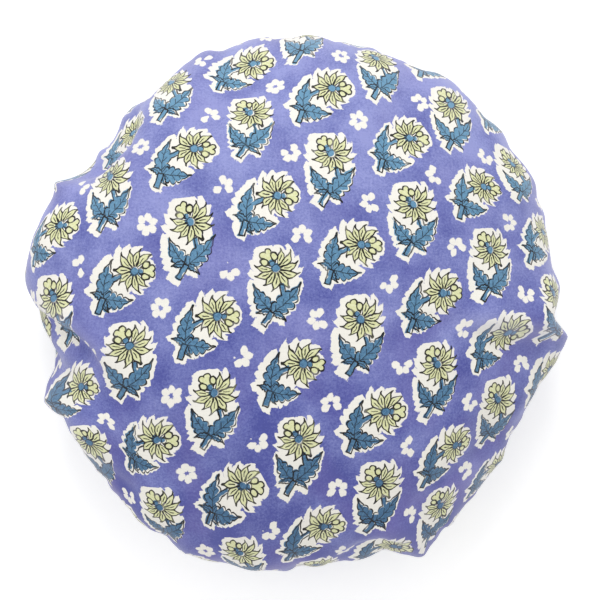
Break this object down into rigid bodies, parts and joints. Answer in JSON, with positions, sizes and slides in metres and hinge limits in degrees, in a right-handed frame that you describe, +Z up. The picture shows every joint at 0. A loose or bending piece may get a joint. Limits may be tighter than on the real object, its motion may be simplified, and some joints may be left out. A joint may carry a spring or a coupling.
{
  "type": "shower cap",
  "caption": "Puffed round shower cap: printed cotton outside, waterproof lining inside, bound hem drawn in by a sewn ring of flat elastic.",
  "frame": {"origin": "centre of the ring that the hem rests on, at the bottom of the cap", "axes": "+Z up through the crown, square to the hem's opening; +Y towards the top of the crown as the picture shows it; +X to its right"},
  "size_m": [0.3242, 0.3201, 0.122],
  "materials": {
    "printed_cotton": "plain-weave cotton cambric, hand-block-printed with flower sprigs on a mottled periwinkle ground, soft and slightly glazed",
    "lining": "white waterproof film on a thin knit, satin, softly creased",
    "tape": "plain-weave bias tape dyed periwinkle, puckered along its seam",
    "elastic": "braided white polyester elastic with lengthwise ribs",
    "white_thread": "spun polyester sewing thread, white",
    "blue_thread": "spun polyester sewing thread, periwinkle"
  },
  "bodies": {
    "root": {"outer_panel": "printed_cotton", "waterproof_lining": "lining", "hem_binding": "tape", "elastic_band": "elastic", "elastic_join_stitch": "white_thread", "hem_needle_thread": "blue_thread", "hem_bobbin_thread": "blue_thread"}
  },
  "joints": []
}
